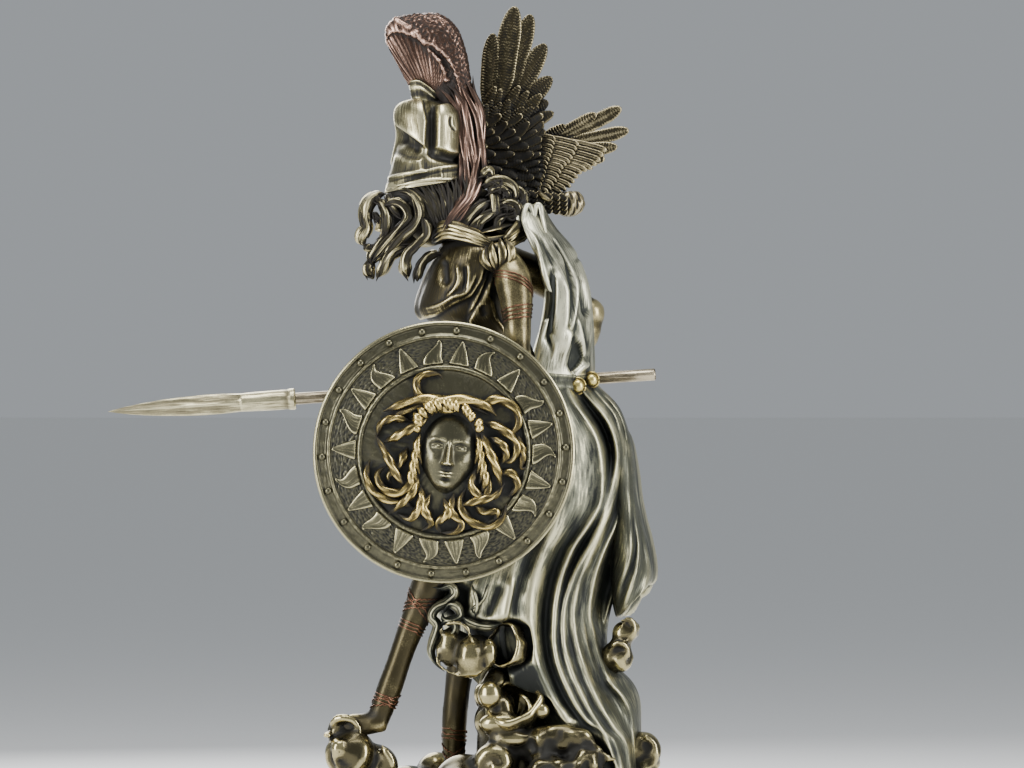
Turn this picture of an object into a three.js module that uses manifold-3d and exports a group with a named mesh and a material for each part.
// A cast statuette of Athena with helmet, shield, spear and owl, striding over clouds on a low plinth.
// Millimetres, +Z up. She faces -X, her left side and her shield face -Y. The origin is the centre of
// the plinth's underside.

import * as THREE from 'three';
import { mergeVertices } from 'three/addons/utils/BufferGeometryUtils.js';
import { LoftGeometry } from 'three/addons/geometries/LoftGeometry.js';
import Module from 'manifold-3d';

// Driving dimensions.
const PLINTH_WIDTH = 134;
const PLINTH_DEPTH = 116;
const PLINTH_HEIGHT = 12;
const FIGURE_HEIGHT = 329;
const SHIELD_RADIUS = 51.6;
const SHIELD_DOME = 5;
const SHIELD_WALL = 2.6;
const SHIELD_PLACE = [-18.4, -47.2, 165.6];
const RIVET_RADIUS = 1.4;
const RAY_COUNT = 22;
const SPEAR_RADIUS = 2.4;
const SPEAR_LENGTH = 222;
const SPEAR_TILT_DEG = 3.9;
const SPEAR_BEHIND_HAND = 43;
const BLADE_LENGTH = 54;
const BLADE_HEIGHT = 8;
const BLADE_THICKNESS = 4;
const SOCKET_LENGTH = 22;
const SOCKET_WALL = 1.3;
const SOCKET_DEPTH = 9;
const WING_THICKNESS = 2.2;
const SEAT_GAP = 0.3;

// The pose is written for a figure 329 mm tall that starts 12 mm above the underside, and is a share
// of the figure's own height.
const POSE_HEIGHT = 329;
const POSE_FLOOR = 12;
const share = FIGURE_HEIGHT / POSE_HEIGHT;
const seat = PLINTH_HEIGHT + SEAT_GAP;

const point = (x, y, z) => new THREE.Vector3(x, y, z);
const at = (x, y, z) => point(x * share, y * share, PLINTH_HEIGHT + (z - POSE_FLOOR) * share);
const mix = (a, b, t) => a + (b - a) * t;
const radians = THREE.MathUtils.degToRad;
const HALF_TURN = Math.PI / 2;

// The far hand, which the spear passes through, and the near forearm's own depth behind the shield.
const HAND = [23.6, 34, 193.4];
const FOREARM_DEPTH = -37;
const OWL_HEAD = [30.6, 19, 264.6];

const wasm = await Module();
wasm.setup();

// Solids in and out of the boolean kernel.

function bare(geometry) {
  const source = geometry.index ? geometry : mergeVertices(geometry);
  const plain = new THREE.BufferGeometry();
  plain.setAttribute('position', source.getAttribute('position').clone());
  plain.setIndex(Array.from(source.index.array));
  return mergeVertices(plain, 1e-4);
}

function signedVolume(positions, index) {
  const a = point(0, 0, 0);
  const b = point(0, 0, 0);
  const c = point(0, 0, 0);
  let total = 0;
  for (let i = 0; i < index.length; i += 3) {
    a.fromArray(positions, index[i] * 3);
    b.fromArray(positions, index[i + 1] * 3);
    c.fromArray(positions, index[i + 2] * 3);
    total += a.dot(b.cross(c));
  }
  return total;
}

function solid(geometry) {
  const merged = bare(geometry);
  const positions = merged.getAttribute('position').array;
  const kept = [];
  const index = merged.index.array;
  for (let i = 0; i < index.length; i += 3) {
    const [a, b, c] = [index[i], index[i + 1], index[i + 2]];
    if (a !== b && b !== c && c !== a) kept.push(a, b, c);
  }
  if (signedVolume(positions, kept) < 0) kept.reverse();
  const mesh = new wasm.Mesh({
    numProp: 3,
    vertProperties: new Float32Array(positions),
    triVerts: new Uint32Array(kept),
  });
  return new wasm.Manifold(mesh);
}

function join(geometries) {
  let whole = solid(geometries[0]);
  for (const geometry of geometries.slice(1)) whole = whole.add(solid(geometry));
  return whole;
}

function shapeOf(manifold) {
  const mesh = manifold.getMesh();
  const geometry = new THREE.BufferGeometry();
  geometry.setAttribute('position', new THREE.BufferAttribute(new Float32Array(mesh.vertProperties), 3));
  geometry.setIndex(Array.from(mesh.triVerts));
  geometry.computeVertexNormals();
  return geometry;
}

// Forms. A form is a run of rings, each ring one section across it.

function middleOf(points) {
  return points.reduce((sum, p) => sum.add(p), point(0, 0, 0)).divideScalar(points.length);
}

// Area vector of a ring: it points to where the ring runs counterclockwise.
function facing(points) {
  const sum = point(0, 0, 0);
  points.forEach((p, i) => sum.add(p.clone().cross(points[(i + 1) % points.length])));
  return sum;
}

function skin(rings) {
  let agreement = 0;
  for (let i = 0; i + 1 < rings.length; i++) {
    agreement += facing(rings[i]).dot(middleOf(rings[i + 1]).sub(middleOf(rings[i])));
  }
  const wound = agreement < 0 ? rings.map((points) => points.slice().reverse()) : rings;
  return new LoftGeometry(wound, { capStart: true, capEnd: true });
}

// A ring between a front point and a back point, each [x, z], bulging sideways by half a depth.
function ring(front, back, halfDepth, middle, sides, fold = () => 0) {
  const points = [];
  for (let i = 0; i < sides; i++) {
    const turn = (i / sides) * Math.PI * 2;
    const along = (1 - Math.cos(turn)) / 2;
    const x = mix(front[0], back[0], along);
    const z = mix(front[1], back[1], along);
    const swell = fold(turn, x, z);
    const y = middle - Math.sin(turn) * (halfDepth + swell);
    points.push(at(x - Math.cos(turn) * swell, y, z));
  }
  return points;
}

// A round or oval limb along a smooth path. Sizes are [radius] or [across, deep] at each path point.
function limb(path, sizes, sides, steps) {
  const curve = new THREE.CatmullRomCurve3(path.map((p) => at(...p)));
  const frames = curve.computeFrenetFrames(steps, false);
  const rings = [];
  for (let i = 0; i <= steps; i++) {
    const t = i / steps;
    const place = Math.min(t * (sizes.length - 1), sizes.length - 1 - 1e-9);
    const k = Math.floor(place);
    const from = sizes[k];
    const to = sizes[k + 1];
    const wide = mix(from[0], to[0], place - k) * share;
    const deep = mix(from[1] ?? from[0], to[1] ?? to[0], place - k) * share;
    const centre = curve.getPointAt(t);
    const points = [];
    for (let j = 0; j < sides; j++) {
      const turn = (j / sides) * Math.PI * 2;
      points.push(
        centre
          .clone()
          .addScaledVector(frames.normals[i], Math.cos(turn) * wide)
          .addScaledVector(frames.binormals[i], Math.sin(turn) * deep)
      );
    }
    rings.push(points);
  }
  return skin(rings);
}

function ball(centre, radii, across, down) {
  const geometry = new THREE.SphereGeometry(1, across, down);
  geometry.rotateX(Math.PI / 2);
  geometry.scale(radii[0] * share, radii[1] * share, radii[2] * share);
  const place = at(...centre);
  geometry.translate(place.x, place.y, place.z);
  return geometry;
}

// A curl of hair: part of a turn in the side view, thick in the middle and thin at its end.
function curl([x, y, z], radius, startDeg, sweepDeg, thickness, drift) {
  const path = [];
  const count = 5;
  for (let i = 0; i <= count; i++) {
    const turn = radians(startDeg + (sweepDeg * i) / count);
    path.push([x + Math.cos(turn) * radius, y + (drift * i) / count, z + Math.sin(turn) * radius]);
  }
  const sizes = [[thickness * 0.55], [thickness], [thickness], [thickness * 0.8], [thickness * 0.35]];
  return limb(path, sizes, 4, 5);
}

// Body.

function torso() {
  const rows = [
    [[-8, 170], [26, 170], 20],
    [[-9, 188], [25, 186], 22.5],
    [[-9, 200], [20, 198], 19],
    [[-12, 208], [15, 208], 17.5],
    [[-22, 217], [12, 218], 20],
    [[-28, 224], [10, 228], 21.5],
    [[-23, 234], [9, 238], 23],
    [[-17, 243], [8, 247], 24],
    [[-17, 248], [2, 252], 15],
    [[-22, 252], [-8, 255], 7],
    [[-28, 258], [-14, 262], 6.5],
  ];
  return skin(rows.map(([front, back, deep]) => ring(front, back, deep, 0, 9)));
}

function head() {
  const rows = [
    [[-40, 244], [-36, 245], 2.5],
    [[-42, 247], [-24, 249], 6.5],
    [[-43, 253], [-17, 256], 9.5],
    [[-43.5, 259], [-14, 263], 11.5],
    [[-42.5, 267], [-13, 271], 12.5],
    [[-40, 276], [-14, 279], 12],
    [[-34, 284], [-18, 286], 9],
  ];
  return skin(rows.map(([front, back, deep]) => ring(front, back, deep, 0, 10)));
}

function helmet() {
  const rows = [
    [[-42.6, 268.5], [-10.5, 277.5], 15.8],
    [[-41.4, 274], [-10.4, 281], 15.6],
    [[-39.4, 280], [-12, 283.5], 13.6],
    [[-38, 286], [-12.6, 286.5], 12.2],
    [[-37, 292.5], [-13, 292], 12],
    [[-38, 299], [-14, 299.5], 11],
    [[-36.4, 303.4], [-17, 303.8], 8.5],
    [[-31, 306.4], [-22, 306], 3],
  ];
  const bowl = skin(rows.map(([front, back, deep]) => ring(front, back, deep, 0, 12)));
  const cheekFlaps = [-1, 1].map((side) => {
    const path = [[-37, side * 8, 299], [-30, side * 12, 294], [-24.4, side * 12.6, 287.4]];
    return limb(path, [[2, 4.5], [2, 4], [0.6, 0.8]], 5, 3);
  });
  const socket = skin([
    ring([-31.5, 306], [-20.5, 303], 4.5, 0, 10),
    ring([-33, 314], [-19.6, 306.5], 5.5, 0, 10),
  ]);
  return [bowl, ...cheekFlaps, socket];
}

// The horsetail crest: slices from its foot on the helmet to its trimmed edge, running over the crown
// and down behind the head to the near shoulder. Each slice is [foot, edge, thickness, middle].
const CREST_SLICES = [
  [[-33.4, 312.6], [-37, 319], 3, 0],
  [[-33, 312], [-42.4, 331], 8, 0],
  [[-31, 311], [-39.8, 338], 12, 0],
  [[-28.5, 309.5], [-31, 340.3], 14, 0],
  [[-25, 308], [-20.4, 340.2], 15, -1],
  [[-22, 306.5], [-13.6, 334.8], 15, -1],
  [[-19.5, 304], [-10, 325.2], 14, -1],
  [[-17, 301.5], [-7.8, 313], 12, -2],
  [[-14.4, 297.6], [-5.4, 303], 10, -3],
  [[-12.6, 290], [-4.2, 293], 8.5, -4],
  [[-12.4, 281], [-3.6, 281], 8, -5],
  [[-11.2, 273], [-4.4, 271], 7.5, -8],
  [[-14.4, 266], [-8.2, 262.5], 7, -13],
  [[-18, 259.6], [-13, 256], 6, -17],
  [[-19.4, 254.5], [-16.4, 251.6], 3.4, -18.5],
];

function crest() {
  const rings = CREST_SLICES.map(([foot, edge, thickness, middle]) => {
    return ring(foot, edge, thickness / 2, middle, 8);
  });
  return skin(rings);
}

// Locks of hair beside the face, each [x, out to the side, z] from its root to its end.
const LOCKS = [
  [[-34, 12, 268], [-43, 12.5, 264], [-50.6, 11, 254], [-49, 9.5, 245], [-43.4, 9.5, 239]],
  [[-27, 14, 262], [-33, 14.5, 254], [-37, 13.5, 245], [-31.4, 12.5, 237.6]],
  [[-24, 14.5, 267], [-27.6, 15, 257], [-23, 15, 249], [-29.6, 14.5, 243]],
];

function hair() {
  const cap = ball([-26, 0, 261], [14.5, 15, 14.5], 8, 5);
  const bun = ball([-7, 0, 260], [13.5, 14, 10.5], 7, 4);
  const curls = [];
  for (const side of [-1, 1]) {
    for (const path of LOCKS) {
      const sizes = [[1.8], [2.3], [2.5], [2.3], [1.2]];
      curls.push(limb(path.map(([x, out, z]) => [x, side * out, z]), sizes, 4, 5));
    }
    curls.push(curl([-45, side * 10.5, 257.2], 5.4, 60, 250, 2, side * 2));
    curls.push(curl([-37, side * 13, 262], 5, 200, -230, 2, side * 1.5));
  }
  curls.push(curl([-1.6, -12.5, 265], 5.6, 170, -250, 2.4, -3));
  curls.push(curl([6, -13, 258], 4.6, 120, -260, 2.2, -3));
  return [cap, bun, ...curls];
}

function arms() {
  const near = limb(
    [[2, -21, 246], [7.5, -27, 238], [10, -30.5, 226], [10.6, -32.5, 212], [10.5, -33, 201]],
    [[6], [7.6], [6.8], [5.8], [5.4]], 6, 4
  );
  const nearForearm = limb(
    [[12, -33, 203], [2, -35.5, 194], [-12, -38, 183], [-25, -39, 174], [-36, -39, 166]],
    [[5], [5.8], [5], [3.9], [3.2]], 6, 4
  );
  const nearHand = ball([-38, -39, 165], [6.5, 4, 5.5], 6, 4);
  const far = limb(
    [[2, 20, 246], [12, 27, 240], [27, 31, 231], [40, 31.5, 222]],
    [[6], [7.4], [6.6], [5.6]], 6, 3
  );
  const farForearm = limb(
    [[42, 31.5, 224], [35, 32.5, 209], [24, 33, 195]],
    [[4.6], [5.4], [4]], 6, 2
  );
  const farHand = ball([HAND[0], HAND[1], HAND[2]], [5.6, 5.8, 6.4], 8, 6);
  return [near, nearForearm, nearHand, far, farForearm, farHand];
}

function legs() {
  const near = limb(
    [
      [6, -11, 184], [-6, -15, 156], [-19, -18, 126], [-27, -19, 106], [-36, -19, 82],
      [-43.5, -19, 63], [-45, -19, 55],
    ],
    [[12], [13], [9.4], [6.6], [6.7], [5.3], [5]], 6, 6
  );
  const nearFoot = limb(
    [[-38, -19, 56], [-46, -19, 57.5], [-56, -19, 55.5], [-64, -19, 54]],
    [[3.6, 3], [5, 4.6], [3.4, 4.8], [1.6, 3]], 6, 3
  );
  const far = limb(
    [
      [9, 12, 184], [4, 14, 152], [-4, 14, 120], [-9, 13, 96], [-13.5, 13, 70], [-15, 13, 48],
      [-14, 13, 36],
    ],
    [[12.5], [13], [9.4], [6.8], [6.9], [5.4], [5.2]], 6, 6
  );
  const farFoot = limb(
    [[-7, 13, 32], [-17, 13, 34], [-28, 13, 31], [-39, 13, 28.5]],
    [[3.6, 3.4], [5.4, 4.8], [3.6, 5], [1.6, 3]], 6, 3
  );
  return [near, nearFoot, far, farFoot];
}

// Cloth.

// The lines that the cloth's main folds follow on the near side, as [x, z] along each crest.
const ROBE_RIDGES = [
  {
    line: [[40, 194], [49, 186], [53, 175], [50, 160], [45, 140], [38, 122], [33, 104], [30, 84]],
    rise: 3.4,
  },
  {
    line: [[30, 192], [38, 184], [41, 168], [38, 150], [28, 122], [24, 96], [28, 74], [36, 58]],
    rise: 3.6,
  },
  { line: [[56, 150], [55, 136], [44, 118], [40, 100], [45, 80], [53, 60], [57, 44]], rise: 4.2 },
  { line: [[62, 132], [62, 118], [56, 108]], rise: 2.6 },
  { line: [[8, 116], [5, 98], [12, 78], [22, 62], [34, 44]], rise: 3.2 },
  { line: [[16, 130], [12, 104], [18, 84], [30, 66], [44, 44]], rise: 3 },
  { line: [[-14, 114], [-17, 102], [-20, 92], [-18, 80]], rise: 2.6 },
];
const RIDGE_WIDTH = 4.6;
const FAR_FOLDS = 9;
const FAR_FOLD_RISE = 2.2;

function distanceToLine(x, z, line) {
  let nearest = Infinity;
  for (let i = 0; i + 1 < line.length; i++) {
    const [ax, az] = line[i];
    const [bx, bz] = line[i + 1];
    const along = ((x - ax) * (bx - ax) + (z - az) * (bz - az)) / ((bx - ax) ** 2 + (bz - az) ** 2);
    const t = Math.min(Math.max(along, 0), 1);
    nearest = Math.min(nearest, Math.hypot(x - mix(ax, bx, t), z - mix(az, bz, t)));
  }
  return nearest;
}

function robeFold(turn, x, z) {
  const near = Math.sin(turn);
  const growth = Math.min(Math.max((200 - z) / 60, 0), 1);
  if (near <= 0) return FAR_FOLD_RISE * growth * Math.cos(turn * FAR_FOLDS + z * 0.03);
  let swell = -1.2 * growth;
  for (const { line, rise } of ROBE_RIDGES) {
    swell += rise * growth * Math.exp(-((distanceToLine(x, z, line) / RIDGE_WIDTH) ** 2));
  }
  return swell * Math.min(near * 2, 1);
}

// The robe and its train: rings from the belt to the hem, each [front, back, half depth].
const ROBE_SIDES = 26;
const ROBE_RINGS = [
  [[-8, 199], [38, 199], 21],
  [[-9, 192], [42, 192.5], 23],
  [[-12, 182], [51, 183], 26],
  [[-16, 168], [56.4, 169], 28],
  [[-22, 138], [62.4, 140], 31],
  [[-24.5, 124], [64.4, 126], 32],
  [[-25.4, 112], [64.4, 114], 33],
  [[-20, 105], [56, 102], 31],
  [[-20, 94], [46.5, 92], 30],
  [[-19, 80], [52, 79], 31],
  [[2, 68], [59, 67], 32],
  [[14, 50], [59.6, 52], 33],
  [[22, 20], [60, 22], 34],
];

function robe() {
  return skin(ROBE_RINGS.map(([front, back, deep]) => ring(front, back, deep, 0, ROBE_SIDES, robeFold)));
}

// The cloak: a thick curved sheet round her back, from the shoulders to the belt.
// Each row is [near edge x, back x, height, half width, thickness].
const CLOAK_ROWS = [
  [9, 19, 262, 12, 5],
  [11, 24, 256, 18, 6],
  [17, 31, 246, 22, 6],
  [21, 36.5, 237, 24, 6],
  [22.5, 39, 227, 25, 6.5],
  [20, 40, 214, 24, 7],
  [17, 40, 204, 22, 8],
  [15, 38.5, 194, 21, 10],
];
const CLOAK_POINTS = 8;
const CLOAK_FOLDS = 7;

function cloak() {
  const rings = CLOAK_ROWS.map(([nearX, backX, height, halfWidth, thickness], row) => {
    const points = [];
    for (let i = 0; i <= CLOAK_POINTS; i++) {
      const turn = mix(-Math.PI / 2, Math.PI / 2, i / CLOAK_POINTS);
      const swell = 1.3 * Math.cos(turn * CLOAK_FOLDS + row * 0.25);
      const x = mix(nearX, backX, Math.cos(turn)) + swell * Math.cos(turn);
      points.push(at(x, Math.sin(turn) * (halfWidth + swell), height));
    }
    for (let i = CLOAK_POINTS; i >= 0; i -= 2) {
      const turn = mix(-Math.PI / 2, Math.PI / 2, i / CLOAK_POINTS);
      const x = mix(nearX - 1, backX - thickness, Math.cos(turn));
      points.push(at(x, Math.sin(turn) * (halfWidth - thickness * 0.55), height));
    }
    return points;
  });
  return skin(rings);
}

function shoulderCloth() {
  const roll = limb(
    [[-21, -9, 250], [-17, -17, 249.5], [-9, -22, 249], [-1, -26, 247]],
    [[2], [2.6], [2.6], [2.2]], 5, 4
  );
  const knot = ball([1.6, -28, 243], [5, 4.4, 6.6], 7, 5);
  const yoke = skin([
    ring([-16, 246], [10, 250], 25, 0, 12),
    ring([-13, 251], [12, 256], 19, 0, 12),
    ring([-9, 255], [16, 262], 11, 0, 12),
  ]);
  const hem = limb(
    [[-26, -3, 222], [-21.6, -13, 221], [-14, -19.8, 220], [-5, -22, 223], [1, -21, 231]],
    [[1.2], [1.7], [1.8], [1.6], [1]], 5, 6
  );
  return [roll, knot, yoke, hem];
}

// Each stud of the belt is [x, y, z, radius].
const STUDS = [[34, -16, 191.6, 3.3], [39.5, -9.5, 194, 3]];

function belt() {
  const band = skin([
    ring([-10.4, 193], [41.4, 189], 24.6, 0, 12),
    ring([-10.4, 198], [41, 195], 24.2, 0, 12),
  ]);
  return [band, ...STUDS.map(([x, y, z, r]) => ball([x, y, z], [r, r, r], 6, 4))];
}

// Clouds under the feet and up the robe's near side, each [x, y, z, radius].
const PUFFS = [
  [-60.4, -17, 55, 4.6], [-55.6, -20, 45.6, 10], [-46, -15, 40, 9.4], [-52, -8, 26, 13],
  [-14.6, -21, 90, 6.2], [-6, -25, 82, 8.2], [7, -28, 88, 7], [-1, -22, 67, 8.4], [9.5, -25, 59, 9],
  [17, -28, 46, 9],
  [53.6, -9, 91, 5], [49.6, -12, 83, 7], [60, -9, 46, 8], [-10, -26, 32, 14], [24, -36, 30, 15],
  [54, -16, 27, 12], [-34, 24, 24, 15], [2, 38, 28, 16], [38, 34, 30, 16],
];

function clouds() {
  const ground = skin([
    ring([-62, 11], [62, 11], 52, 0, 14),
    ring([-62, 19], [62, 19], 52, 0, 14),
    ring([-46, 28], [50, 28], 38, 0, 14),
  ]);
  const stem = skin([
    ring([-4, 24], [28, 24], 22, 0, 8),
    ring([-4, 78], [24, 78], 22, 0, 8),
  ]);
  const puffs = PUFFS.map(([x, y, z, r]) => ball([x, y, z], [r, r, r * 0.94], 6, 3));
  return [ground, stem, ...puffs];
}

// Spear: its axis runs through the far hand.
const handPoint = at(...HAND);
const spearTilt = -radians(SPEAR_TILT_DEG);

function rod(radius, from, to, sides = 16) {
  const geometry = new THREE.CylinderGeometry(radius, radius, to - from, sides);
  geometry.rotateZ(-HALF_TURN);
  geometry.translate((from + to) / 2, 0, 0);
  return geometry;
}

function placedOnSpear(geometry) {
  geometry.rotateY(spearTilt);
  geometry.translate(handPoint.x, handPoint.y, handPoint.z);
  return geometry;
}

const spearTail = SPEAR_BEHIND_HAND;
const spearTip = spearTail - SPEAR_LENGTH;
const socketEnd = spearTip + BLADE_LENGTH + SOCKET_LENGTH;
const shaftStart = socketEnd - SOCKET_DEPTH + SEAT_GAP;
const socketRadius = SPEAR_RADIUS + SEAT_GAP + SOCKET_WALL;

function spearHead() {
  const half = BLADE_HEIGHT / 2;
  const thick = BLADE_THICKNESS / 2;
  const stations = [
    [0, 0.06, 0.1], [0.16, 0.44, 0.5], [0.4, 0.8, 0.8], [0.66, 1, 1], [0.88, 0.96, 1.1],
  ];
  const rings = stations.map(([along, high, deep]) => {
    const x = spearTip + along * BLADE_LENGTH;
    const points = [];
    for (let j = 0; j < 8; j++) {
      const turn = (j / 8) * Math.PI * 2;
      const edge = j % 2 ? 0.78 : 1;
      points.push(point(x, Math.sin(turn) * thick * deep * edge, Math.cos(turn) * half * high * edge));
    }
    return points;
  });
  const round = (x, radius) =>
    Array.from({ length: 8 }, (_, j) =>
      point(x, Math.sin((j / 8) * Math.PI * 2) * radius, Math.cos((j / 8) * Math.PI * 2) * radius)
    );
  rings.push(round(spearTip + BLADE_LENGTH, socketRadius * 0.94));
  rings.push(round(socketEnd - 1.2, socketRadius * 1.02));
  rings.push(round(socketEnd, socketRadius * 0.96));
  const bore = rod(SPEAR_RADIUS + SEAT_GAP, socketEnd - SOCKET_DEPTH, socketEnd + 2, 16);
  const head = solid(skin(rings)).subtract(solid(bore));
  return placedOnSpear(shapeOf(head));
}

const spearShaft = () => placedOnSpear(rod(SPEAR_RADIUS, shaftStart, spearTail));
const PASSAGE_EXTRA = 4;

function spearPassage() {
  return placedOnSpear(rod(SPEAR_RADIUS + SEAT_GAP, shaftStart - PASSAGE_EXTRA, spearTail + PASSAGE_EXTRA));
}


// Shield: made flat about its centre with its face towards -Y, then draped over its own dome.
const ARM_REST = [-14, -43.4, 181.5];
const shieldCentre = at(...SHIELD_PLACE);
const RIVET_RING = 0.931;
const FIRST_RAY_DEG = 2.2;
const RELIEF = 0.8;
const FACE_CENTRE = [2, -2];
const FACE_SIZE = [11.2, 6.6, 14];
const SNAKE_COUNT = 9;
const SNAKE_RADIUS = 1.6;
const domeAt = (radius) => SHIELD_DOME * (1 - (radius / SHIELD_RADIUS) ** 2);

function draped(geometry) {
  const position = geometry.getAttribute('position');
  for (let i = 0; i < position.count; i++) {
    const radius = Math.hypot(position.getX(i), position.getZ(i));
    position.setY(i, position.getY(i) - domeAt(radius));
  }
  return geometry;
}

// The plate, with a ray raised at every second step of its turning and the ground sunk between.
function plate() {
  const r = SHIELD_RADIUS;
  const steps = RAY_COUNT * 2;
  const wall = [
    [0.4, 0.1, 0], [0.615, 0, 0], [0.635, 1.3, 0], [0.66, 0, 1.6], [0.865, 0, 0.2],
    [0.875, 1.1, 0], [0.9, 0.4, 0], [0.962, 0.4, 0], [0.972, 1.5, 0], [1, 1.2, 0], [1, -SHIELD_WALL, 0],
    [0.4, -SHIELD_WALL - 0.1, 0],
  ];
  const rings = wall.map(([reach, height, raised]) =>
    Array.from({ length: steps }, (_, i) => {
      const turn = radians(FIRST_RAY_DEG) + (i / steps) * Math.PI * 2;
      const rise = height + (i % 2 ? 0 : raised * RELIEF);
      return point(Math.cos(turn) * reach * r, -rise, Math.sin(turn) * reach * r);
    })
  );
  return draped(skin(rings));
}

function rivet(index) {
  const profile = [[0, 0], [1, 1.4], [0, 1.4]];
  const points = profile.map(([a, h]) => new THREE.Vector2(a * RIVET_RADIUS, (h - 1) * RIVET_RADIUS - 0.4));
  const geometry = new THREE.LatheGeometry(points, 4);
  const turn = radians(FIRST_RAY_DEG + (360 / RAY_COUNT) * index);
  const reach = RIVET_RING * SHIELD_RADIUS;
  geometry.translate(Math.cos(turn) * reach, 0, Math.sin(turn) * reach);
  return draped(geometry);
}

// The gorgon's head: a plain calm mask and snakes that wind out from it.
function gorgon() {
  const [faceX, faceZ] = FACE_CENTRE;
  const mask = new THREE.SphereGeometry(1, 8, 6);
  mask.scale(...FACE_SIZE);
  mask.translate(faceX, 0, faceZ);
  const nose = new THREE.ConeGeometry(2.2, 8, 4);
  nose.scale(1, 1, 0.8);
  nose.rotateX(HALF_TURN);
  nose.translate(faceX - 0.6, -6, faceZ - 1);
  const brow = new THREE.SphereGeometry(1, 6, 4);
  brow.scale(FACE_SIZE[0] * 1.12, 5.4, 6);
  brow.translate(faceX, -1, faceZ + FACE_SIZE[2] * 0.72);
  const snakes = [];
  for (let i = 0; i < SNAKE_COUNT; i++) {
    const start = radians(78 + (i * 360) / SNAKE_COUNT);
    const swing = i % 2 ? 0.62 : -0.55;
    const path = [];
    for (let k = 0; k <= 4; k++) {
      const t = k / 4;
      const turn = start + swing * 1.4 * Math.sin(t * 2.4);
      const reach = mix(11, 27 - (i % 3), t);
      path.push(point(
        faceX * (1 - t) + Math.cos(turn) * reach,
        -2.2 - 1.6 * Math.sin(t * Math.PI),
        faceZ * (1 - t) + Math.sin(turn) * reach
      ));
    }
    snakes.push(snake(path));
  }
  return [mask, nose, brow, ...snakes].map(draped);
}

function snake(path) {
  const curve = new THREE.CatmullRomCurve3(path);
  const steps = 5;
  const frames = curve.computeFrenetFrames(steps, false);
  const rings = [];
  for (let i = 0; i <= steps; i++) {
    const radius = SNAKE_RADIUS * (i === steps ? 0.35 : 1 + 0.25 * Math.sin((i / steps) * Math.PI));
    const centre = curve.getPointAt(i / steps);
    rings.push(Array.from({ length: 5 }, (_, j) => {
      const turn = (j / 5) * Math.PI * 2;
      return centre.clone()
        .addScaledVector(frames.normals[i], Math.cos(turn) * radius)
        .addScaledVector(frames.binormals[i], Math.sin(turn) * radius);
    }));
  }
  return skin(rings);
}

function shield() {
  const relief = [...gorgon()];
  for (let i = 0; i < RAY_COUNT; i++) relief.push(rivet(i));
  const whole = join([plate(), ...relief]);
  const geometry = shapeOf(whole);
  geometry.translate(shieldCentre.x, shieldCentre.y, shieldCentre.z);
  return geometry;
}

// The back of the shield at a point, which the forearm's rest meets with a gap.
function shieldBackAt(x, z) {
  const radius = Math.hypot(x - shieldCentre.x, z - shieldCentre.z);
  return shieldCentre.y - domeAt(radius) + SHIELD_WALL;
}

function armRest() {
  const [x, , z] = ARM_REST;
  const place = at(x, 0, z);
  const back = shieldBackAt(place.x, place.z) + SEAT_GAP;
  const inner = at(x, FOREARM_DEPTH, z).y;
  const geometry = new THREE.CylinderGeometry(6, 6, inner - back - 1, 12);
  geometry.translate(place.x, (inner + back + 1) / 2, place.z);
  return geometry;
}

// Owl behind the far shoulder. A wing is layers of feathers that fan from its arm. One layer is a flat
// blade whose edge has a rounded tip for each feather and a notch between two.
function featherLayer(roots, tips, notch, middle, thickness) {
  const outline = [];
  const last = tips.length - 1;
  tips.forEach((tip, i) => {
    const root = [0, 1].map((k) => mix(roots[0][k], roots[1][k], i / last));
    const beside = [0, 1].map((k) => (tips[Math.min(i + 1, last)][k] - tips[Math.max(i - 1, 0)][k]) / 4);
    const inward = [0, 1].map((k) => mix(tip[k], root[k], notch));
    outline.push([inward[0] - beside[0], inward[1] - beside[1]]);
    outline.push([tip[0] - beside[0] * 0.35, tip[1] - beside[1] * 0.35]);
    outline.push([tip[0] + beside[0] * 0.35, tip[1] + beside[1] * 0.35]);
  });
  outline.push(roots[1], roots[0]);
  const shape = new THREE.Shape(outline.map(([x, z]) => {
    const place = at(x, 0, z);
    return new THREE.Vector2(place.x, place.z);
  }));
  const geometry = new THREE.ExtrudeGeometry(shape, { depth: thickness, bevelEnabled: false });
  geometry.rotateX(HALF_TURN);
  geometry.translate(0, middle * share + thickness / 2, 0);
  return geometry;
}

// Each wing: its root line, the tips of its long feathers, and the arm along its leading edge.
const NEAR_WING = {
  middle: 15,
  roots: [[-2, 300], [10, 266]],
  tips: [[0.8, 333], [5, 337], [9.6, 344], [15.6, 340.8], [19.6, 334], [21, 326.5], [23.2, 316.8],
    [21.8, 306], [21.8, 296], [20.6, 286], [19, 274]],
  arm: [[10, 266], [1, 276], [-2, 294], [-1.4, 310], [1.6, 326]],
  armSizes: [[4, 4], [3.8, 3.8], [2.6, 3], [2.2, 2.6], [0.9, 1.2]],
};
const FAR_WING = {
  middle: 24,
  roots: [[22, 292], [22, 268]],
  tips: [[42.4, 301.6], [51.6, 303.6], [55.6, 294.8], [51.2, 287.2], [45.2, 280.8], [38.8, 277.2],
    [32.8, 272], [27, 268]],
  arm: [[20, 266], [20.6, 278], [22.6, 290], [31, 296.6], [39, 299.8]],
  armSizes: [[4, 4], [4, 4], [3.2, 3.2], [2.4, 2.4], [0.9, 1.2]],
};
const COVERT_REACH = [0.72, 0.5];

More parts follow.
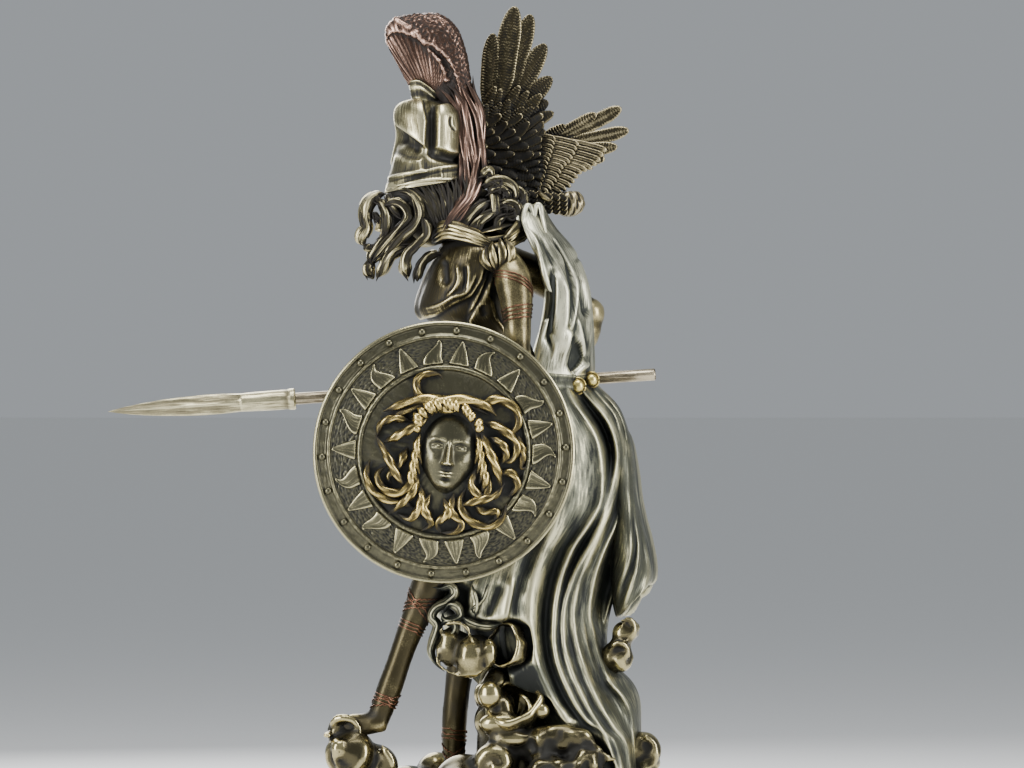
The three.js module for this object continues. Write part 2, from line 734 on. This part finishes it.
function wing({ middle, roots, tips, arm, armSizes }) {
  const layers = [featherLayer(roots, tips, 0.2, middle, WING_THICKNESS)];
  COVERT_REACH.forEach((reach, level) => {
    const shortened = tips.map((tip, i) => {
      const down = i / (tips.length - 1);
      return [0, 1].map((k) => mix(mix(roots[0][k], roots[1][k], down), tip[k], reach));
    });
    const short = shortened.filter((tip, i) => i % 2 === level % 2);
    layers.push(featherLayer(roots, short, 0.12, middle, WING_THICKNESS + 1.6 * (level + 1)));
  });
  layers.push(limb(arm.map(([x, z]) => [x, middle, z]), armSizes, 6, 6));
  return layers;
}

function owl() {
  const body = skin([
    ring([11, 261.6], [21, 261.4], 4, 18, 9),
    ring([10, 267], [28, 264], 7.4, 19, 9),
    ring([14, 275], [30, 271], 7.6, 20, 9),
    ring([20, 280], [26, 278], 3, 20, 9),
  ]);
  const [x, y, z] = OWL_HEAD;
  const head = ball(OWL_HEAD, [6.4, 6, 5.8], 7, 5);
  const beak = limb([[x + 3.4, y, z], [x + 7.4, y, z - 2.2]], [[1.6], [0.3]], 5, 1);
  return [body, head, beak, ...wing(NEAR_WING), ...wing(FAR_WING)];
}

// Plinth: a low oval base with a moulded edge.
function plinth() {
  const half = PLINTH_WIDTH / 2;
  const profile = [
    [0, 0], [half, 0], [half, 3.4], [half - 1.4, 4.6], [half - 2.6, 6.6],
    [half - 2.8, PLINTH_HEIGHT - 1], [half - 3.8, PLINTH_HEIGHT], [0, PLINTH_HEIGHT],
  ].map(([r, z]) => new THREE.Vector2(r, z));
  const geometry = new THREE.LatheGeometry(profile, 28);
  geometry.rotateX(HALF_TURN);
  geometry.scale(1, PLINTH_DEPTH / PLINTH_WIDTH, 1);
  return shapeOf(solid(geometry));
}

// The casting, cut flat where it meets the plinth and cleared for the spear, the owl and the shield.
function figure() {
  const forms = [
    torso(), head(), ...helmet(), crest(), ...hair(), ...arms(), ...legs(), robe(), cloak(),
    ...shoulderCloth(), ...belt(), ...clouds(), armRest(),
  ];
  const size = 4 * PLINTH_WIDTH;
  const below = new THREE.BoxGeometry(size, size, size);
  below.translate(0, 0, seat - size / 2);
  return join(forms).subtract(solid(below)).subtract(solid(spearPassage()));
}

const castFigure = figure();
const castOwl = join(owl()).subtract(castFigure);

const statue = new THREE.Group();

function addPiece(name, geometry, color, roughness, metalness) {
  const material = new THREE.MeshStandardMaterial({ color, roughness, metalness });
  const mesh = new THREE.Mesh(geometry, material);
  mesh.name = name;
  statue.add(mesh);
}

addPiece('figure', shapeOf(castFigure), 0x8a8468, 0.42, 0.85);
addPiece('owl', shapeOf(castOwl), 0x7a7258, 0.45, 0.85);
addPiece('shield', shield(), 0x76705a, 0.4, 0.85);
addPiece('spear_shaft', spearShaft(), 0x6e5f45, 0.4, 0.85);
addPiece('spear_head', spearHead(), 0xa8966a, 0.35, 0.9);
addPiece('plinth', plinth(), 0x4d4433, 0.5, 0.8);

export default statue;
